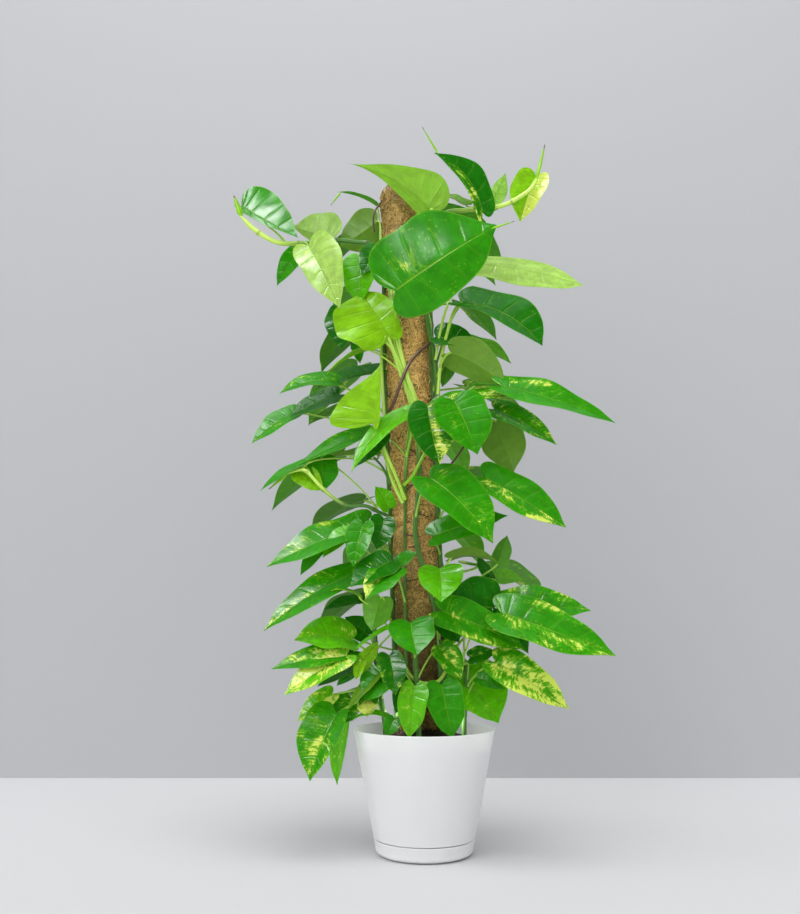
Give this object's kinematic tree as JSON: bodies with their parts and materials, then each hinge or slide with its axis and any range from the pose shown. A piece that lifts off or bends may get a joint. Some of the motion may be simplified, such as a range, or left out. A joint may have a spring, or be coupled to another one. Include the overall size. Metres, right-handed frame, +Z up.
{
  "type": "variegated pothos on a coir pole in a pot",
  "caption": "Potted climbing aroid house plant: glossy variegated heart-shaped leaves on stems up a coir pole, in a white tapered pot with saucer.",
  "frame": {"origin": "middle of the saucer's flat underside, on the surface that the plant stands on", "axes": "+Z up along the pot's axis, the plant's front faces -Y, +X to the right of someone who looks at the front"},
  "size_m": [0.5011, 0.2959, 0.9607],
  "materials": {
    "pot": "white satin moulded plastic",
    "soil": null,
    "coir": "matted brown coconut fibre bound with thin thread",
    "stake": "plain turned wooden stake",
    "leaf": null
  },
  "bodies": {
    "root": {"pot": "pot", "saucer": "pot", "soil": "soil", "coir_sleeve": "coir", "pole_stake": "stake", "vine_left": "leaf", "vine_front_left": "leaf", "vine_front": "leaf", "vine_front_right": "leaf", "vine_right": "leaf", "vine_back_left": "leaf", "vine_back_right": "leaf", "vine_low_left": "leaf", "vine_low_front": "leaf", "vine_low_right": "leaf", "vine_low_back": "leaf"}
  },
  "joints": []
}
